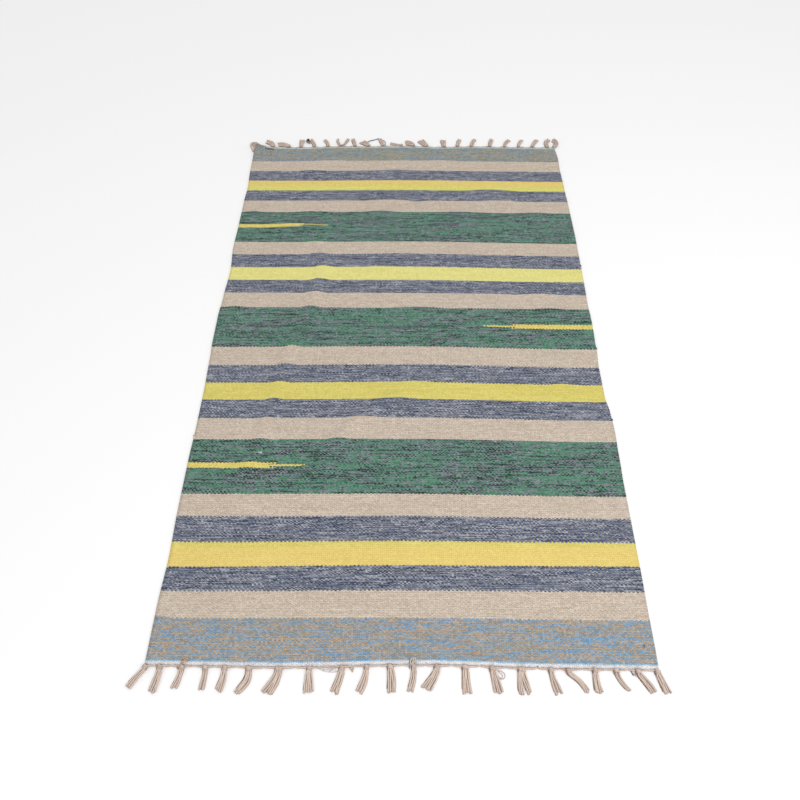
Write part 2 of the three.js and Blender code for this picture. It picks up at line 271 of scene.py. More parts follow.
FAR_LOOSE = [
    LooseYarn("undyed", 1.1, ((-2, 1486, 1.6), (-6, 1506, 3), (-10, 1526, 3.4))),
    LooseYarn("undyed", 1.1, ((-1, 1486, 2), (-3, 1504, 4), (-4, 1524, 6))),
    LooseYarn("pale", 1.1, ((0, 1487, 2), (0, 1504, 4.6), (2, 1522, 8))),
    LooseYarn("undyed", 1, ((1, 1488, 1.6), (3, 1503, 6), (6, 1518, 11))),
    LooseYarn("navy", 1.4, ((160, 1529, 3), (156, 1534, 4), (157, 1541, 4.4), (162, 1545, 3.6))),
    LooseYarn("navy", 1.4, ((164, 1531, 3), (160, 1537, 4.6), (160, 1544, 4.2))),
    LooseYarn("brown", 1.2, ((166, 1524, 3), (161, 1528, 4), (158, 1534, 3.4))),
    LooseYarn("navy", 0.8, ((340, 1534, 3), (350, 1542, 1.6), (361, 1547, 1), (374, 1554, 1))),
    LooseYarn("undyed", 1, ((380, 1545, 2), (389, 1543, 1.2), (394, 1531, 1.2), (393, 1513, 1.2))),
    LooseYarn("undyed", 1, ((653, 1522, 3), (655, 1534, 1.6), (657, 1548, 1.2))),
    LooseYarn("brown", 1.1, ((508, 1513, 3), (512, 1516, 4), (519, 1514, 3))),
    LooseYarn("undyed", 0.9, ((692, 1512, 1.2), (697, 1514, 1.4), (703, 1512, 3))),
    LooseYarn("undyed", 0.9, ((735, 1510, 1.2), (741, 1513, 1.4), (748, 1512, 3))),
]

# Turns of thicker yarn that stand out at the left side (0) and the right side (1)
NUBS = [Nub(0, 471), Nub(1, 520), Nub(1, 722), Nub(1, 1001)]
# Spots of another colour in the weave, with their width and depth; the two at the curled far left
# corner are painted shade on the curl and a painted shadow below it
MARKS = [
    Mark(150, 430, 7, 3, (214, 206, 200)),
    Mark(650, 462, 4, 3, (176, 176, 176)),
    Mark(727, 1118, 5, 4, (168, 172, 170)),
    Mark(883, 33, 4, 5, (92, 98, 106)),
    Mark(581, 18, 13, 4, (184, 138, 96)),
    Mark(174, 1154, 5, 5, (176, 176, 128)),
    Mark(690, -4, 3, 3, (120, 112, 112)),
    # Painted shade on the curled corner, and the painted shadow below its curl
    Mark(22, 1503, 26, 12, (146, 128, 104)),
    Mark(48, 1493, 27, 9, (98, 92, 88)),
    Mark(840, 1496, 14, 4, (152, 132, 106)),
]


# Shape of the lying cloth

def smooth(value, low, high):
    """0 at low, 1 at high, and eased between them."""
    part = min(max((value - low) / (high - low), 0), 1)
    return part * part * (3 - 2 * part)


def hump(share):
    """1 in the middle of a crease or wave and 0 at its reach."""
    return math.cos(share * math.pi / 2) ** 2


def eased(rows, share):
    """The second column of a table, smoothed between its rows."""
    if share <= rows[0][0]:
        return rows[0][1]
    for (low, before), (high, after) in zip(rows, rows[1:]):
        if share <= high:
            return before + (after - before) * smooth(share, low, high)
    return rows[-1][1]


def pick_sway(right, along):
    """How far the pick at this place sways towards the far end, in millimetres."""
    rows = [(row.along, eased(list(zip(SWAY_PLACES, row[1:])), right)) for row in SWAYS]
    sway = eased(rows, along)
    share = right / FIELD_WIDTH
    near = smooth(along, ENDS_DEPTH, 0)
    far = smooth(along, FIELD_LENGTH - ENDS_DEPTH, FIELD_LENGTH)
    sway += (eased(NEAR_END, share) - sway) * near
    sway += (eased(FAR_END, share) - sway) * far
    for wave in WAVES:
        aside = abs(right - wave.right) / wave.reach
        ahead = abs(along - wave.along) / WAVE_DEPTH
        if aside < 1 and ahead < 1:
            sway += wave.height * hump(aside) * hump(ahead)
    return sway


def crease_lift(crease, right, along):
    """How high a crease lifts the cloth at this place, in millimetres."""
    lift = 0
    for start, end in zip(crease, crease[1:]):
        run = Vector((end.right - start.right, end.along - start.along))
        way = Vector((right - start.right, along - start.along))
        part = min(max(way.dot(run) / run.length_squared, 0), 1)
        distance = (way - run * part).length
        reach = start.reach + (end.reach - start.reach) * part
        if distance < reach:
            rise = start.rise + (end.rise - start.rise) * part
            lift = max(lift, rise * hump(distance / reach))
    return lift


def cloth_lift(right, along):
    """How far the underside stands off the floor, in millimetres."""
    corner = CURLED_CORNER
    distance = math.hypot(right - corner.right, along - corner.along)
    curl = corner.rise * max(0, 1 - distance / corner.reach) ** 2
    return max(curl, crease_lift(LONG_CREASE, right, along), crease_lift(SLANTING_CREASE, right, along))


def cloth_sides(along_share):
    """The left and the right side at a share of the way along."""
    share = min(max(along_share, 0), 1)
    return eased(LEFT_SIDE, share), FIELD_WIDTH + eased(RIGHT_SIDE, share)


def cloth_end(right, outward):
    """Where the cloth ends at the near end (outward -1) or the far end (outward 1)."""
    share = min(max(right / FIELD_WIDTH, 0), 1)
    if outward < 0:
        return eased(NEAR_END, share) - HEADING
    return FIELD_LENGTH + HEADING + eased(FAR_END, share)


def cloth_place(across, along):
    """A place on the cloth, from shares of its width and length."""
    left, right = cloth_sides(along)
    near = cloth_end(across * FIELD_WIDTH, -1)
    far = cloth_end(across * FIELD_WIDTH, 1)
    return left + (right - left) * across, near + (far - near) * along


def at_place(right, along, height):
    """A point of the part's frame, in metres."""
    return Vector(((right - FIELD_WIDTH / 2) * MM, (along - FIELD_LENGTH / 2) * MM, height * MM))


# Working with pieces

def lone(piece=None):
    """Leaves only this piece selected, or nothing."""
    bpy.ops.object.select_all(action="DESELECT")
    if piece:
        piece.select_set(True)
        bpy.context.view_layer.objects.active = piece


def apply_modifier(piece, kind, **settings):
    """Puts a modifier on the piece and applies it."""
    lone(piece)
    modifier = piece.modifiers.new(kind.lower(), kind)
    for name, value in settings.items():
        setattr(modifier, name, value)
    bpy.ops.object.modifier_apply(modifier=modifier.name)


def join(pieces):
    """Makes one piece of several."""
    lone(pieces[0])
    for piece in pieces:
        piece.select_set(True)
    bpy.ops.object.join()
    return pieces[0]


def settle(piece):
    """Puts the piece's place into its mesh."""
    lone(piece)
    bpy.ops.object.transform_apply(location=True, rotation=True, scale=True)


# The woven field

# The grid that the cloth is shaped from
CELLS_ACROSS = 120
CELLS_ALONG = 200

# A turn of weft round the outermost warps: half its size across, along and up, how far its middle lies
# inside the side, and how much larger and further out a turn of thicker yarn is
TURN_SIZE = (1.7, 2.1, 1.55)
TURN_INSET = 1.2
NUB_SIZE = 1.7
NUB_SHIFT = 1
# How far a turn strays to either side, and how much its size varies
TURN_STRAY = 0.25
TURN_SIZES = (0.92, 1.08)


def weave_cloth():
    """The cloth as one thin sheet, as it lies."""
    lone()
    bpy.ops.mesh.primitive_grid_add(x_subdivisions=CELLS_ACROSS, y_subdivisions=CELLS_ALONG, size=1)
    cloth = bpy.context.object
    cloth.name = "woven_field"
    for vertex in cloth.data.vertices:
        right, along = cloth_place(vertex.co.x + 0.5, vertex.co.y + 0.5)
        vertex.co = at_place(right, along, cloth_lift(right, along) + CLOTH_THICKNESS)
    apply_modifier(cloth, "SOLIDIFY", thickness=CLOTH_THICKNESS * MM, offset=-1)
    return cloth


def selvedge_turns():
    """The weft's turns round the outermost warps, down both sides."""
    lone()
    bpy.ops.mesh.primitive_uv_sphere_add(segments=6, ring_count=4, radius=MM)
    turn = bpy.context.object
    turn.scale = TURN_SIZE
    settle(turn)
    turns = []
    random.seed(31)
    count = int((FIELD_LENGTH + 2 * HEADING) / FLOAT_HEIGHT)
    for side, inward in ((0, 1), (1, -1)):
        for number in range(count):
            right, along = cloth_place(side, (number + 0.5) / count)
            copy = turn.copy()
            copy.data = turn.data.copy()
            bpy.context.collection.objects.link(copy)
            place = right + TURN_INSET * inward + random.uniform(-TURN_STRAY, TURN_STRAY)
            copy.scale = Vector((1, 1, 1)) * random.uniform(*TURN_SIZES)
            for nub in NUBS:
                if nub.side == side and abs(nub.along - along) < FLOAT_HEIGHT / 2:
                    place -= NUB_SHIFT * inward
                    copy.scale *= NUB_SIZE
            height = cloth_lift(right, along) + TURN_SIZE[2] * copy.scale.z
            copy.location = at_place(place, along, height)
            turns.append(copy)
    bpy.data.objects.remove(turn)
    selvedges = join(turns)
    settle(selvedges)
    return selvedges


def lay_weave(piece):
    """Gives each point its place in the weave, in metres across and along."""
    layer = piece.data.attributes.new("weave", "FLOAT_VECTOR", "POINT")
    for vertex, value in zip(piece.data.vertices, layer.data):
        right = vertex.co.x / MM + FIELD_WIDTH / 2
        along = vertex.co.y / MM + FIELD_LENGTH / 2
        left, right_side = cloth_sides(along / FIELD_LENGTH)
        across = (right - left) / (right_side - left) * FIELD_WIDTH
        value.vector = (across * MM, (along - pick_sway(across, along)) * MM, 0)


def weave_field(material):
    """The cloth and its selvedges as one piece, with its weave."""
    piece = join([weave_cloth(), selvedge_turns()])
    piece.name = "woven_field"
    lay_weave(piece)
    piece.data.materials.clear()
    piece.data.materials.append(material)
    for polygon in piece.data.polygons:
        polygon.use_smooth = True
    return piece


# Node helpers

# The sockets of a Mix node that carry its colours
FIRST_COLOUR = 6
SECOND_COLOUR = 7
MIXED_COLOUR = 2


class Number:
    """A number that the shader works out at each point, for plain arithmetic."""

    def __init__(self, nodes, socket):
        self.nodes = nodes
        self.socket = socket

    def __add__(self, other):
        return self.nodes.calc("ADD", self, other)

    __radd__ = __add__

    def __sub__(self, other):
        return self.nodes.calc("SUBTRACT", self, other)

    def __rsub__(self, other):
        return self.nodes.calc("SUBTRACT", other, self)

    def __mul__(self, other):
        return self.nodes.calc("MULTIPLY", self, other)

    def __truediv__(self, other):
        return self.nodes.calc("DIVIDE", self, other)

    def __mod__(self, other):
        return self.nodes.calc("FLOORED_MODULO", self, other)

    def __pow__(self, power):
        return self.nodes.calc("POWER", self, power)

    def __abs__(self):
        return self.nodes.calc("ABSOLUTE", self)


class Nodes:
    """Short calls for a material's nodes. A value may be a number, a Number or a socket."""

    def __init__(self, name):
        self.material = bpy.data.materials.new(name)
        self.material.use_nodes = True
        self.tree = self.material.node_tree
        self.shader = self.tree.nodes["Principled BSDF"]

    def node(self, kind, **settings):
        """A new node of this kind with these settings."""
        node = self.tree.nodes.new("ShaderNode" + kind)
        for name, value in settings.items():
            setattr(node, name, value)
        return node

    def put(self, socket, value):
        """Links a value to a socket, or sets the socket to a plain one."""
        if isinstance(value, Number):
            value = value.socket
        if isinstance(value, bpy.types.NodeSocket):
            self.tree.links.new(value, socket)
        else:
            socket.default_value = value

    def calc(self, operation, *values):
        node = self.node("Math", operation=operation)
        for socket, value in zip(node.inputs, values):
            self.put(socket, value)
        return Number(self, node.outputs[0])

    def clamped(self, value, low, high):
        return self.calc("MINIMUM", self.calc("MAXIMUM", value, low), high)

    def attribute(self, name, output="Vector"):
        return self.node("Attribute", attribute_name=name).outputs[output]

    def place(self):
        return self.node("TexCoord").outputs["Object"]

    def parts(self, vector):
        """The three numbers of a vector."""
        node = self.node("SeparateXYZ")
        self.put(node.inputs[0], vector)
        return [Number(self, output) for output in node.outputs]

    def point(self, x, y, z):
        node = self.node("CombineXYZ")
        for socket, value in zip(node.inputs, (x, y, z)):
            self.put(socket, value)
        return node.outputs[0]

    def noise(self, vector, scale, detail):
        """A soft random value with no sudden changes."""
        node = self.node("TexNoise")
        self.put(node.inputs["Vector"], vector)
        self.put(node.inputs["Scale"], scale)
        self.put(node.inputs["Detail"], detail)
        return Number(self, node.outputs["Fac"])

    def dice(self, vector):
        """A random value from 0 to 1 for each vector."""
        node = self.node("TexWhiteNoise")
        self.put(node.inputs["Vector"], vector)
        return Number(self, node.outputs["Value"])

    def band(self, value, low, high):
        """0 under low, 1 past high, and soft between."""
        node = self.node("MapRange", interpolation_type="SMOOTHSTEP")
        self.put(node.inputs["Value"], value)
        self.put(node.inputs["From Min"], low)
        self.put(node.inputs["From Max"], high)
        return Number(self, node.outputs["Result"])

    def mix(self, factor, first, second, blend="MIX"):
        node = self.node("Mix", data_type="RGBA", blend_type=blend)
        self.put(node.inputs["Factor"], factor)
        self.put(node.inputs[FIRST_COLOUR], first)
        self.put(node.inputs[SECOND_COLOUR], second)
        return node.outputs[MIXED_COLOUR]

    def tinted(self, colour, tint):
        return self.mix(1, colour, tint, "MULTIPLY")

    def emboss(self, height, strength, depth):
        """Roughens the shader's surface by a height, down to a depth in millimetres."""
        bump = self.node("Bump")
        self.put(bump.inputs["Strength"], strength)
        self.put(bump.inputs["Distance"], depth * MM)
        self.put(bump.inputs["Height"], height)
        self.put(self.shader.inputs["Normal"], bump.outputs["Normal"])

    def finish(self, colour, roughness):
        """Gives the shader its colour and the dull gloss of cotton."""
        self.put(self.shader.inputs["Base Color"], colour)
        self.shader.inputs["Roughness"].default_value = roughness
        self.shader.inputs["Specular IOR Level"].default_value = 0.2


def dyed(colour):
    """A screen colour, in parts of 255, as the shader's linear colour."""
    linear = []
    for value in colour:
        share = value / 255
        if value > 10:
            linear.append(((share + 0.055) / 1.055) ** 2.4)
        else:
            linear.append(share / 12.92)
    return (*linear, 1)


# The woven cotton

Weft = namedtuple("Weft", "first first_turned second second_turned")

# Each pick carries two yarns side by side, and each yarn has two tones that it turns to and fro between
WEFTS = {
    "white": Weft((224, 222, 224), (216, 213, 214), (220, 217, 219), (208, 205, 206)),
    "ice": Weft((194, 208, 206), (186, 200, 198), (200, 208, 206), (180, 196, 194)),
    "beige": Weft((207, 193, 177), (200, 186, 170), (194, 179, 163), (186, 170, 154)),
    "navy": Weft((54, 64, 86), (86, 94, 112), (160, 161, 169), (128, 131, 142)),
    "amber": Weft((230, 206, 121), (226, 200, 114), (231, 208, 124), (227, 202, 117)),
    "lemon": Weft((222, 208, 117), (214, 198, 106), (226, 213, 122), (216, 201, 110)),
    "mustard": Weft((219, 206, 114), (210, 196, 102), (223, 211, 121), (212, 198, 105)),
    "straw": Weft((228, 221, 139), (223, 215, 131), (230, 224, 142), (225, 218, 134)),
    "lime": Weft((222, 218, 119), (215, 210, 108), (225, 222, 123), (217, 212, 112)),
    "sky": Weft((112, 170, 208), (132, 176, 202), (140, 180, 204), (156, 178, 192)),
    "sky_tan": Weft((104, 152, 189), (138, 151, 157), (182, 156, 128), (163, 148, 128)),
    "slate": Weft((108, 150, 162), (122, 158, 164), (128, 160, 162), (140, 158, 156)),
    "slate_tan": Weft((110, 140, 166), (130, 146, 150), (168, 151, 118), (150, 144, 126)),
    "green": Weft((73, 134, 101), (31, 49, 44), (127, 129, 138), (99, 127, 119)),
    "inlay": Weft((224, 206, 116), (216, 197, 106), (222, 204, 114), (212, 193, 104)),
}

# Loosely spun yarns, which fill the gaps between the floats
PLUMP_YARNS = ("amber", "lemon", "mustard", "straw", "lime")
# How strongly the yarns spun from several colours are flecked
MIXED_YARNS = {"navy": 1, "green": 1, "slate_tan": 0.8, "sky_tan": 0.5}

# How far the beaten picks wander, in millimetres, and how often in a metre across and along
PICK_WANDER = 2.6
WANDERS_ACROSS = 60
WANDERS_ALONG = 30
# How far a pick swings as it passes over and under the warps, in floats, and how squarely it turns
SNAKE_SWING = 0.25
SNAKE_SQUARENESS = 1.3
# How much the floats lean, and how soft the line between the two yarns of a pick is
FLOAT_LEAN = 0.25
YARN_BLUR = 0.1

# How far along a pick its changes stay alike, in millimetres: a short and a long run of each
TONE_RUNS = (24, 120)
ORDER_RUNS = (24, 170)
BALANCE_RUNS = (40, 230)
STREAK_RUN = 18
# These take neighbouring picks, rows and lines to far parts of the noise, so that each has its own
PICK_STRIDE = 61.7
ROW_STRIDE = 47.3
LINE_STRIDE = 37.9

# Where the order of the two yarns changes, and how strongly each change moves their mix
ORDER_TURN = (0.94, 1.06)
BALANCE_STRENGTH = 0.4
STREAK_STRENGTH = 2.4
CHANCE_STRENGTH = 0.5
# How strongly chance and the long run turn a yarn to its other tone, and where it turns
TONE_CHANCE = 0.4
TONE_DRIFT = 1.3
TONE_TURN = (0.36, 0.64)

# How much wider a stripe is to each side, in millimetres, so that no gap opens
STRIPE_MARGIN = 0.05
MARK_STRENGTH = 0.85

# How square a float is, how much it falls away to its sides against its ends, and the fall at which the
# gap beside it begins and is deep
FLOAT_SQUARENESS = 2.4
SIDE_FALL = 0.45
GAP_EDGE = (0.45, 1.4)
# The twist of the yarn: its slant, its angle over a float in radians, how much it is painted as shade
# and how much it lifts
TWIST_SLANT = 1.2
TWIST_ANGLE = 18.8
TWIST_SHADE = 0.03
TWIST_RELIEF = 0.08

# Painted light and shade: the shade of a float's top, how much darker a gap is painted, and the cloth's
# middle shade
TOP_SHADE = 1.085
GAP_SHADE = 0.47
MIDDLE_SHADE = 0.96
# How much of the painted shade and the flecks' light and dark a plump yarn loses, and how flecked
# plain, mixed and inlaid yarns are
PLUMP_LOSS = 0.45
PLAIN_FLECK = 0.28
MIXED_FLECK = 0.32
INLAY_LOSS = 0.6


class Weave(Nodes):
    """Weft-faced plain weave: each float is one warp wide and two picks high, laid brick fashion."""

    def __init__(self, name):
        super().__init__(name)
        self.across, even_along, _ = self.parts(self.attribute("weave"))
        wander_place = self.point(self.across * WANDERS_ACROSS, even_along * WANDERS_ALONG, 8.8)
        wander = self.noise(wander_place, scale=1, detail=3)
        along = (wander - 0.5) * (PICK_WANDER * MM) + even_along
        warps = self.across / (WARP_PITCH * MM)
        self.warp = self.calc("FLOOR", warps)
        self.in_warp = self.calc("FRACT", warps) - 0.5
        self.odd = self.warp % 2

        # Neighbouring warps are half a float out of step, and each pick snakes between them
        snake = self.calc("COSINE", (warps - 0.5) * math.pi) * SNAKE_SQUARENESS
        swing = (1 - self.clamped(snake, -1, 1)) * SNAKE_SWING
        rows = along / (FLOAT_HEIGHT * MM) + swing
        row = self.calc("FLOOR", rows)
        self.in_row = self.calc("FRACT", rows) - 0.5
        self.leaning_row = self.in_warp * FLOAT_LEAN + self.in_row
        self.pick = row + 0.5 - self.odd * 0.5
        # A stripe's edge keeps half way to the middle of the float that it meets, which gives it teeth
        pick_line = self.pick * (FLOAT_HEIGHT * MM)
        self.stripe_line = (along - pick_line) * 0.5 + pick_line

        self.own_pick = self.pick * PICK_STRIDE
        self.own_row = row * ROW_STRIDE
        self.own_line = self.calc("FLOOR", rows * 2) * LINE_STRIDE
        self.first_share = self.find_first_share()
        self.first_turn = self.find_turn(3.3)
        self.second_turn = self.find_turn(7.9)

    def run(self, length, own, seed):
        """A soft value of a pick, row or line that stays alike for about this many millimetres."""
        place = self.point(self.across * (1 / (length * MM)), own, seed)
        return self.noise(place, scale=1, detail=0)

    def chance(self, own, seed):
        """A random value of each float, around 0."""
        return self.dice(self.point(self.warp, own, seed)) - 0.5

    def find_first_share(self):
        """How much of the first yarn shows: the two change places in runs and streaks."""
        upper = abs(self.band(self.leaning_row, -YARN_BLUR, YARN_BLUR) - self.odd)
        short, long = ORDER_RUNS
        order = self.run(short, self.own_pick, 4.1) + self.run(long, self.own_row, 6.7)
        share = abs(upper - self.band(order, *ORDER_TURN))
        short, long = BALANCE_RUNS
        balance = self.run(short, self.own_row, 1.9) + self.run(long, self.own_row, 2.9) - 1
        streak = self.run(STREAK_RUN, self.own_line, 5.3) - 0.5
        share = share + balance * BALANCE_STRENGTH + streak * STREAK_STRENGTH
        share = share + self.chance(self.pick, 9.1) * CHANCE_STRENGTH
        return self.clamped(share, 0, 1)

    def find_turn(self, seed):
        """How far a yarn has turned to its other tone, from 0 to 1."""
        short, long = TONE_RUNS
        turn = self.run(short, self.own_line, seed) + self.chance(self.pick, seed) * TONE_CHANCE
        turn = turn + (self.run(long, self.own_row, seed) - 0.5) * TONE_DRIFT
        return self.band(turn, *TONE_TURN)

    def laid(self, name):
        """The colour of the weave in these yarns."""
        weft = WEFTS[name]
        first = self.mix(self.first_turn, dyed(weft.first), dyed(weft.first_turned))
        second = self.mix(self.second_turn, dyed(weft.second), dyed(weft.second_turned))
        return self.mix(self.first_share, second, first)

    def within(self, middle, half_width):
        """1 on the picks this near to a place along the cloth, in millimetres."""
        return self.calc("COMPARE", self.stripe_line, middle * MM, half_width * MM)


def stripe_places():
    """The middle and the half width of every stripe, by yarn."""
    places = {}
    low = 0
    for yarn, high in STRIPES:
        places.setdefault(yarn, []).append(((low + high) / 2, (high - low) / 2))
        low = high
    return places


def striped(weave):
    """The stripes' colour, where their yarn is plump, and how mixed it is."""
    colour = weave.laid("white")
    plump = 0
    mixed = 0
    for yarn, places in stripe_places().items():
        inside = sum(weave.within(middle, half_width + STRIPE_MARGIN) for middle, half_width in places)
        colour = weave.mix(weave.calc("MINIMUM", inside, 1), colour, weave.laid(yarn))
        if yarn in PLUMP_YARNS:
            plump = weave.calc("MAXIMUM", plump, inside)
        if yarn in MIXED_YARNS:
            mixed = weave.calc("MAXIMUM", mixed, inside * MIXED_YARNS[yarn])
    return colour, plump, mixed


def inlaid_picks(weave):
    """1 on the picks of the yellow inlays, as far in as each of them reaches."""
    inlaid = 0
    for inlay in INLAYS:
        for number, reach in enumerate(inlay.reaches):
            offset = (number - (len(inlay.reaches) - 1) / 2) * PICK
            if inlay.side == "left":
                reached = weave.calc("LESS_THAN", weave.across, reach * MM)
            else:
                reached = weave.calc("GREATER_THAN", weave.across, (FIELD_WIDTH - reach) * MM)
            on_pick = weave.within(inlay.along + offset, PICK / 2)
            inlaid = weave.calc("MAXIMUM", inlaid, on_pick * reached)
    return inlaid


def marked(weave, colour):
    """The colour with its spots of other yarn, and the painted shade and shadow at the curled corner.
    """
    x, y, _ = weave.parts(weave.place())
    for mark in MARKS:
        middle = at_place(mark.right, mark.along, 0)
        inside = weave.calc("COMPARE", x, middle.x, mark.width / 2 * MM)
        inside = inside * weave.calc("COMPARE", y, middle.y, mark.depth / 2 * MM)
        colour = weave.mix(inside * MARK_STRENGTH, colour, dyed(mark.colour))
    return colour


def woven_cotton():
    """The field's cloth: dyed picks of mixed yarn that bulge between gaps, with painted shade in the
    gaps and along the twist.
    """
    weave = Weave("woven_cotton")
    colour, plump, mixed = striped(weave)
    inlaid = inlaid_picks(weave)
    colour = weave.mix(inlaid, colour, weave.laid("inlay"))
    colour = marked(weave, colour)

    fall_across = abs(weave.in_warp * 2) ** FLOAT_SQUARENESS
    fall_along = abs(weave.leaning_row * 2) ** FLOAT_SQUARENESS
    fall = fall_across * SIDE_FALL + fall_along
    painted_gap_shade = weave.band(fall, *GAP_EDGE)
    twist = weave.calc("SINE", (weave.in_row * TWIST_SLANT + weave.in_warp) * TWIST_ANGLE)
    fleck = weave.chance(weave.own_line, 5.7)
    flecking = (mixed * MIXED_FLECK + PLAIN_FLECK) * (1 - inlaid * INLAY_LOSS)

    # Painted shade: the gaps between floats and the twist are darkened in the colour, over flecks of
    # real tone
    shade = fleck * flecking + TOP_SHADE - painted_gap_shade * GAP_SHADE
    shade = (shade - MIDDLE_SHADE) * (1 - plump * PLUMP_LOSS) + MIDDLE_SHADE
    shade = shade + twist * TWIST_SHADE
    colour = weave.tinted(colour, weave.point(shade, shade, shade))

    weave.emboss(twist * TWIST_RELIEF - fall, strength=0.5, depth=0.6)
    weave.finish(colour, roughness=0.92)
    weave.shader.inputs["Sheen Weight"].default_value = 0.08
    weave.shader.inputs["Sheen Roughness"].default_value = 0.5
    return weave.material


# The warp cotton

# Turns of the ply over a strand's whole length, and lines of ply side by side
PLY_TURNS = 14
PLY_LINES = 2
# How often in a metre dust comes and goes, and where dusty turns to clean and a side turns upward
# enough to take painted top light
DUST_SCALE = 320
CLEAN_EDGE = (0.35, 0.65)
UPWARD_EDGE = (0.1, 0.95)
# Painted light and shade of a strand: its painted shade in a hollow, and what clean yarn, painted light
# on an upper side and painted shade along the ply add
HOLLOW_SHADE = 0.45
CLEAN_SHADE = 0.1
PAINTED_LIGHT_ON_TOP = 0.5
PLY_SHADE = 0.05
# Powers that turn the painted shade warm: red falls off less than green, and blue a little more
RED_FALL = 0.75
BLUE_FALL = 1.05


def warp_cotton():
    """Plied yarn: the ply runs round the strand, dust greys it in patches, and painted shade darkens
    its hollows and undersides.
    """
    nodes = Nodes("warp_cotton")
    along, around, _ = nodes.parts(nodes.attribute("UVMap"))
    ply = nodes.calc("SINE", (along * PLY_TURNS + around) * (PLY_LINES * math.tau))
    clean = nodes.band(nodes.noise(nodes.place(), scale=DUST_SCALE, detail=2), *CLEAN_EDGE)
    painted_top_light = nodes.band(nodes.attribute("painted_top_light", "Fac"), *UPWARD_EDGE)
    # Painted light and shade: lighter where a strand faces up, darker in its hollows and along the
    # ply's grooves
    shade = clean * CLEAN_SHADE + HOLLOW_SHADE + painted_top_light * PAINTED_LIGHT_ON_TOP + ply * PLY_SHADE
    warm_shade = nodes.point(shade ** RED_FALL, shade, shade ** BLUE_FALL)
    colour = nodes.tinted(nodes.attribute("dye", "Color"), warm_shade)

    nodes.emboss(ply, strength=0.4, depth=0.3)
    nodes.finish(colour, roughness=0.9)
    return nodes.material


# The fringes

# A strand's radius in millimetres, and the share of it in the cloth, where it gathers and in the knot
STRAND_RADIUS = 1.3
IN_CLOTH = 0.75
GATHERED = 0.8
KNOTTED = 0.85
# One modelled strand stands for a little more than one warp, and a tassel has at least this many
STRANDS_FOR_A_WARP = 0.85
LEAST_STRANDS = 8
# How far tassels share the warps between them, and how far from the sides the first and last warp lie
WARP_OVERLAP = 6
OUTERMOST_WARP = 2

# A tassel's path starts this far past the cloth, and turns at these shares of its length
PATH_START = 1.5
KNOT_SHARE = 0.22
BEND_SHARE = 0.6
# The steps of the path, and those that carry the strands' points in the knot and past it
PATH_STEPS = 24
KNOT_STEP = 2
KNOT_STEPS = (1, 3)
LYING_STEPS = (6, 10, 14, 18, 21, 24)

# How deep in the cloth a warp starts, and how far to its knot it has gone as it comes out and gathers
WARP_DEPTH = 1.5
LEAVING_SHARE = 0.08
GATHER_SHARE = 0.6

# The width of a plain bundle, its width in the knot, and its width at shares of the tassel's length
BUNDLE_WIDTH = 12.5
KNOT_WIDTH = 6.4
TASSEL_WIDTH = [(0, 9), (0.1, 11), (0.2, 9.5), (0.35, 9.5), (0.65, 12), (1, 13)]
# The strands lie in ridges of this width: their shifts within a ridge, and the one that lies on top
RIDGE_WIDTH = 3.7
RIDGE_SHIFTS = (-0.28, 0, 0.28, 0)
UPPER_MEMBER = 1
# How high the lower strands lie in the knot, how much higher the upper ones lie there and past it, and
# how much lighter the upper ones are painted, as painted light on the top layer
KNOT_HEIGHT = 2.4
KNOT_LAYER = 2.2
TASSEL_LAYER = 2.1
TASSEL_LAYER_SINKS = 0.5
UPPER_PAINTED_LIGHT = 0.1

# Random strays of a ridge: its lane in its own width, the start of its swing, and how far it reaches
LANE_STRAY = (-0.16, 0.16)
SWING_START = (0, 6)
RIDGE_REACH = (0.92, 1.03)
# Random strays of a strand: where it comes out and gathers, how far it drifts, reaches and shakes, and
# its tone, with the tone of the other yarns
LEAVING_DISTANCE = (0.8, 1.8)
GATHER_DISTANCE = (1.6, 3.2)
GATHER_HEIGHT = (1.2, 2.8)
STRAND_DRIFT = (-0.4, 0.4)
STRAND_REACH = (0.97, 1.01)
STRAND_SHAKE = (-0.3, 0.3)
STRAND_TONE = (0.86, 0.96)
OTHER_TONE = (0.84, 1.06)
# A ridge's swing from side to side: its width, its growth, and its angle over the tassel in radians
SWING_WIDTH = 0.6
SWING_GROWTH = 2
SWING_ANGLE = 5

# The turns of yarn round a knot: half their width and height, the height of their middle, how far apart
# they lie, how far they slant along the tassel, and where they slant most, in radians
WRAP_POINTS = 8
WRAP_HALF_WIDTH = 3.7
WRAP_HALF_HEIGHT = 2.7
WRAP_MIDDLE = 4.1
WRAP_SPACING = 2
WRAP_SLANT = 1.5
WRAP_SLANT_ANGLE = 0.6
WRAP_THICKNESS = 0.9

# The greyed strand down the left side of each tassel, a painted shadow where the tassel's side lies in
# shade
ShadowPoint = namedtuple("ShadowPoint", "step aside height")
KNOT_SHADOW = (ShadowPoint(0, -3.6, 2.4), ShadowPoint(1, -4.4, 2.8), ShadowPoint(3, -4.6, 2), ShadowPoint(4, -4.2, 1.4))
LYING_SHADOW_STEPS = (8, 12, 16, 20)
SHADOW_GAP = 0.4
SHADOW_HEIGHT = 0.8
SHADOW_THICKNESS = 0.6

# No strand lies lower than this
LOWEST_YARN = 0.1

FRINGE_DYES = {
    "undyed": (221, 204, 191),
    "white": (240, 235, 232),
    "pale": (212, 206, 198),
    "brown": (206, 176, 148),
    # A greyed dye for painted shadow down the tassels' left sides and beside a loop
    "painted_shadow": (156, 132, 120),
    "slate": (110, 110, 120),
    "navy": (58, 66, 88),
}


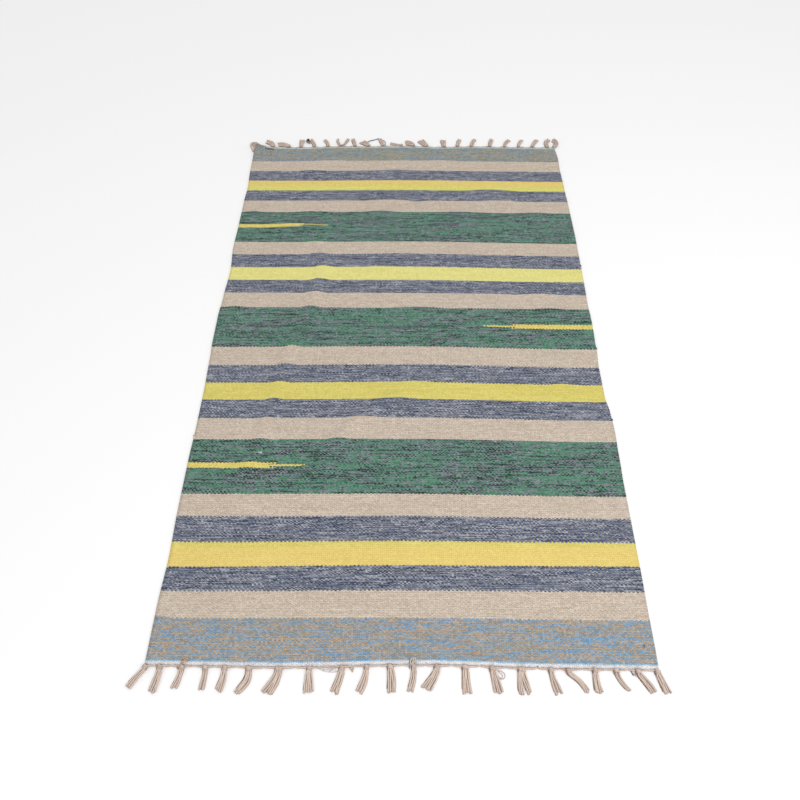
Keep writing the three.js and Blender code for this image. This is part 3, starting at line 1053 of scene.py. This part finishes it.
class FringeYarns:
    """The yarns of one fringe, as a curve and the dye of each."""

    def __init__(self, name):
        self.curve = bpy.data.curves.new(name, "CURVE")
        self.curve.dimensions = "3D"
        self.curve.bevel_depth = STRAND_RADIUS * MM
        self.curve.bevel_resolution = 1
        self.dyes = []

    def add(self, points, dye="undyed", tone=None, closed=False):
        """A yarn through points given as right, along, height and thickness."""
        spline = self.curve.splines.new("BEZIER")
        spline.bezier_points.add(len(points) - 1)
        for bezier, (right, along, height, thickness) in zip(spline.bezier_points, points):
            bezier.co = at_place(right, along, height)
            bezier.handle_left_type = bezier.handle_right_type = "AUTO"
            bezier.radius = thickness
        spline.use_cyclic_u = closed
        spline.resolution_u = 2
        tone = random.uniform(*OTHER_TONE) if tone is None else tone
        self.dyes.append([part * tone for part in dyed(FRINGE_DYES[dye])[:3]])


def tassel_path(tassel, outward):
    """Points and directions down the middle of a tassel, from the cloth's end."""
    leans = [(0, 0), (KNOT_SHARE, tassel.root), (BEND_SHARE, tassel.middle), (1, tassel.tip)]
    place = Vector((tassel.right, cloth_end(tassel.right, outward) + outward * PATH_START))
    path = []
    for step in range(PATH_STEPS + 1):
        lean = math.radians(eased(leans, step / PATH_STEPS))
        way = Vector((math.sin(lean), outward * math.cos(lean)))
        path.append((place.copy(), way))
        place += way * (tassel.length / PATH_STEPS)
    return path


def tassel_width(tassel, share):
    """How wide a tassel lies at this share of its length."""
    return eased(TASSEL_WIDTH, share) * tassel.bundle * (1 + (tassel.spread - 1) * share)


def beside(path, step, outward, aside, height, thickness):
    """A strand's point to the right of a step of the tassel's path."""
    place, way = path[step]
    return place.x + way.y * outward * aside, place.y - way.x * outward * aside, height, thickness


def gather_warp(warp, tassel, outward):
    """The points of a warp from inside the cloth to where it gathers."""
    edge = cloth_end(warp, outward)
    lift = cloth_lift(warp, edge) + CLOTH_THICKNESS / 2
    leaving = warp + (tassel.right - warp) * LEAVING_SHARE
    gather = warp + (tassel.right - warp) * GATHER_SHARE
    gather_end = cloth_end(gather, outward) + outward * random.uniform(*GATHER_DISTANCE)
    return [
        (warp, edge - outward * WARP_DEPTH, lift, IN_CLOTH),
        (leaving, edge + outward * random.uniform(*LEAVING_DISTANCE), lift, IN_CLOTH),
        (gather, gather_end, random.uniform(*GATHER_HEIGHT), GATHERED),
    ]


def lay_strand(path, tassel, outward, lane, upper, swing_start, reach):
    """The points of a strand through the knot and down the tassel, in its lane from -0.5 to 0.5."""
    points = []
    for step in KNOT_STEPS:
        aside = lane * KNOT_WIDTH * tassel.bundle
        points.append(beside(path, step, outward, aside, KNOT_HEIGHT + upper * KNOT_LAYER, KNOTTED))
    drift = random.uniform(*STRAND_DRIFT)
    reach *= random.uniform(*STRAND_REACH)
    for step in LYING_STEPS:
        share = step / PATH_STEPS
        swing = math.sin(swing_start + SWING_ANGLE * share) * min(SWING_WIDTH, SWING_GROWTH * share)
        aside = lane * tassel_width(tassel, share) + drift * share + swing
        aside += random.uniform(*STRAND_SHAKE)
        height = STRAND_RADIUS + upper * (TASSEL_LAYER - TASSEL_LAYER_SINKS * share)
        points.append(beside(path, min(round(step * reach), PATH_STEPS), outward, aside, height, 1))
    return points


def wrap_knot(yarns, path, tassel, outward):
    """Three turns of yarn round the gathered warps."""
    way = path[KNOT_STEP][1]
    for wrap in (-1, 0, 1):
        ring = []
        for corner in range(WRAP_POINTS):
            angle = corner / WRAP_POINTS * math.tau
            aside = math.cos(angle) * WRAP_HALF_WIDTH * tassel.bundle
            right, along, _, _ = beside(path, KNOT_STEP, outward, aside, 0, 0)
            ahead = wrap * WRAP_SPACING + math.cos(angle + WRAP_SLANT_ANGLE) * WRAP_SLANT
            height = WRAP_MIDDLE + math.sin(angle) * WRAP_HALF_HEIGHT
            ring.append((right + way.x * ahead, along + way.y * ahead, height, WRAP_THICKNESS))
        yarns.add(ring, closed=True)


def line_painted_shadow(yarns, path, tassel, outward):
    """A greyed strand down the left side, as painted shadow along the tassel's shaded side."""
    points = []
    for step, aside, height in KNOT_SHADOW:
        points.append(beside(path, step, outward, aside * tassel.bundle, height, 1))
    for step in LYING_SHADOW_STEPS:
        aside = -tassel_width(tassel, step / PATH_STEPS) / 2 - SHADOW_GAP
        points.append(beside(path, step, outward, aside, SHADOW_HEIGHT, SHADOW_THICKNESS))
    yarns.add(points, dye="painted_shadow")


def tie_tassel(yarns, tassel, warps, outward):
    """Gathers the warps, lays them in ridges down the tassel and ties its knot."""
    path = tassel_path(tassel, outward)
    ridges = round(BUNDLE_WIDTH * tassel.bundle * tassel.spread / RIDGE_WIDTH)
    ridges = min(max(2, ridges), len(warps) // 2)
    members = [0] * ridges
    strays = []
    for _ in range(ridges):
        stray = [random.uniform(*limits) for limits in (LANE_STRAY, SWING_START, RIDGE_REACH)]
        strays.append(stray)
    for number, warp in enumerate(warps):
        ridge = number * ridges // len(warps)
        member = members[ridge]
        members[ridge] += 1
        off_lane, swing_start, reach = strays[ridge]
        lane = (ridge + 0.5 + off_lane) / ridges - 0.5
        lane += RIDGE_SHIFTS[member % len(RIDGE_SHIFTS)] / ridges
        upper = 1 if member == UPPER_MEMBER else 0
        points = gather_warp(warp, tassel, outward)
        points += lay_strand(path, tassel, outward, lane, upper, swing_start, reach)
        # Upper strands get painted light, a lighter tone on the top layer
        yarns.add(points, tone=random.uniform(*STRAND_TONE) + upper * UPPER_PAINTED_LIGHT)
    wrap_knot(yarns, path, tassel, outward)
    # A painted shadow down the tassel's left side
    line_painted_shadow(yarns, path, tassel, outward)


def share_warps(tassels):
    """The places of the warps that each tassel gathers."""
    places = [tassel.right for tassel in tassels]
    between = [(left + right) / 2 for left, right in zip(places, places[1:])]
    limits = [OUTERMOST_WARP] + between + [FIELD_WIDTH - OUTERMOST_WARP]
    shares = []
    for low, high in zip(limits, limits[1:]):
        low = max(low - WARP_OVERLAP, OUTERMOST_WARP)
        high = min(high + WARP_OVERLAP, FIELD_WIDTH - OUTERMOST_WARP)
        count = max(LEAST_STRANDS, round((high - low) / WARP_PITCH * STRANDS_FOR_A_WARP))
        shares.append([low + (high - low) * (number + 0.5) / count for number in range(count)])
    return shares


def round_yarns(fringe):
    """Makes closed tubes of a fringe's curve, none under the floor."""
    lone(fringe)
    bpy.ops.object.convert(target="MESH")
    bpy.ops.object.mode_set(mode="EDIT")
    bpy.ops.mesh.select_all(action="SELECT")
    bpy.ops.mesh.fill_holes(sides=8)
    bpy.ops.mesh.select_all(action="SELECT")
    bpy.ops.mesh.normals_make_consistent(inside=False)
    bpy.ops.object.mode_set(mode="OBJECT")
    bpy.ops.object.shade_smooth()
    for vertex in fringe.data.vertices:
        vertex.co.z = max(vertex.co.z, LOWEST_YARN * MM)


def tint_strands(fringe, dyes):
    """Gives each strand its dye, in the order they were added, and marks what faces up, for the painted
    light on the strands' tops.
    """
    mesh = fringe.data
    neighbours = [[] for vertex in mesh.vertices]
    for edge in mesh.edges:
        start, end = edge.vertices
        neighbours[start].append(end)
        neighbours[end].append(start)
    mesh.attributes.new("dye", "FLOAT_VECTOR", "POINT")
    mesh.attributes.new("painted_top_light", "FLOAT", "POINT")
    dye = mesh.attributes["dye"]
    painted_top_light = mesh.attributes["painted_top_light"]
    strand = -1
    reached = set()
    for number, facing in enumerate(painted_top_light.data):
        facing.value = max(0, mesh.vertices[number].normal.z)
        if number in reached:
            continue
        strand += 1
        waiting = [number]
        reached.add(number)
        while waiting:
            place = waiting.pop()
            dye.data[place].vector = dyes[strand]
            for other in neighbours[place]:
                if other not in reached:
                    reached.add(other)
                    waiting.append(other)


def knot_fringe(name, tassels, loose_yarns, outward, seed):
    """A fringe as one piece: the tassels along an end, and the loose yarn ends."""
    random.seed(seed)
    yarns = FringeYarns(name)
    for tassel, warps in zip(tassels, share_warps(tassels)):
        tie_tassel(yarns, tassel, warps, outward)
    for loose in loose_yarns:
        yarns.add([(*point, loose.thickness) for point in loose.points], loose.dye)
    fringe = bpy.data.objects.new(name, yarns.curve)
    bpy.context.collection.objects.link(fringe)
    round_yarns(fringe)
    tint_strands(fringe, yarns.dyes)
    return fringe


# The studio

# Sizes and places in metres, and the light's power in watts
FLOOR_SIZE = 14
FLOOR_PLACE = (0, 2, -0.0002)
FLOOR_COLOUR = (0.985, 0.985, 0.985, 1)
SKY_COLOUR = (1, 1, 1, 1)
SKY_STRENGTH = 0.825
SOFTBOX_PLACE = (1.1, -1.7, 2.2)
SOFTBOX_AIM = (0, -0.5, 0)
SOFTBOX_SIZE = 2
SOFTBOX_POWER = 26

# The camera's place in metres, its angles in degrees, and its lens and sensor in millimetres
CAMERA_PLACE = (-0.0004, -1.102, 1.2813)
CAMERA_PITCH = 35.81
CAMERA_TURN = 0.31
CAMERA_ROLL = 0.10
CAMERA_LENS = 31.8
CAMERA_SENSOR = 36


def build_studio():
    """A plain pale floor under a white sky, with one soft light."""
    lone()
    bpy.ops.mesh.primitive_plane_add(size=FLOOR_SIZE, location=FLOOR_PLACE)
    floor = bpy.context.object
    floor.name = "studio_floor"
    paint = bpy.data.materials.new("pale_floor")
    paint.use_nodes = True
    shader = paint.node_tree.nodes["Principled BSDF"]
    shader.inputs["Base Color"].default_value = FLOOR_COLOUR
    shader.inputs["Roughness"].default_value = 1
    shader.inputs["Specular IOR Level"].default_value = 0
    floor.data.materials.append(paint)

    world = bpy.data.worlds.new("studio")
    world.use_nodes = True
    sky = world.node_tree.nodes["Background"]
    sky.inputs["Color"].default_value = SKY_COLOUR
    sky.inputs["Strength"].default_value = SKY_STRENGTH
    bpy.context.scene.world = world

    bpy.ops.object.light_add(type="AREA", location=SOFTBOX_PLACE)
    softbox = bpy.context.object
    softbox.name = "softbox"
    softbox.data.size = SOFTBOX_SIZE
    softbox.data.energy = SOFTBOX_POWER
    way = Vector(SOFTBOX_AIM) - softbox.location
    softbox.rotation_euler = way.to_track_quat("-Z", "Y").to_euler()


def place_camera():
    """The camera, where the photo was taken from."""
    lone()
    bpy.ops.object.camera_add(location=CAMERA_PLACE)
    camera = bpy.context.object
    camera.data.lens = CAMERA_LENS
    camera.data.sensor_width = CAMERA_SENSOR
    turn = Matrix.Rotation(math.radians(CAMERA_TURN), 4, "Z")
    pitch = Matrix.Rotation(math.radians(CAMERA_PITCH), 4, "X")
    roll = Matrix.Rotation(math.radians(CAMERA_ROLL), 4, "Z")
    camera.matrix_world = Matrix.Translation(CAMERA_PLACE) @ turn @ pitch @ roll
    bpy.context.scene.camera = camera


# Putting it together

place_camera()
build_studio()
bpy.context.scene.view_settings.view_transform = "Standard"

woven = woven_cotton()
undyed = warp_cotton()

field = weave_field(woven)
near_fringe = knot_fringe("near_fringe", NEAR_TASSELS, NEAR_LOOSE, outward=-1, seed=11)
far_fringe = knot_fringe("far_fringe", FAR_TASSELS, FAR_LOOSE, outward=1, seed=12)
for fringe in (near_fringe, far_fringe):
    fringe.data.materials.append(undyed)

for piece, node, slot in (
    (field, "field", "woven_cotton"),
    (near_fringe, "fringe_near", "warp_cotton"),
    (far_fringe, "fringe_far", "warp_cotton"),
):
    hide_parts(node)
    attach(piece, "root")

lone()
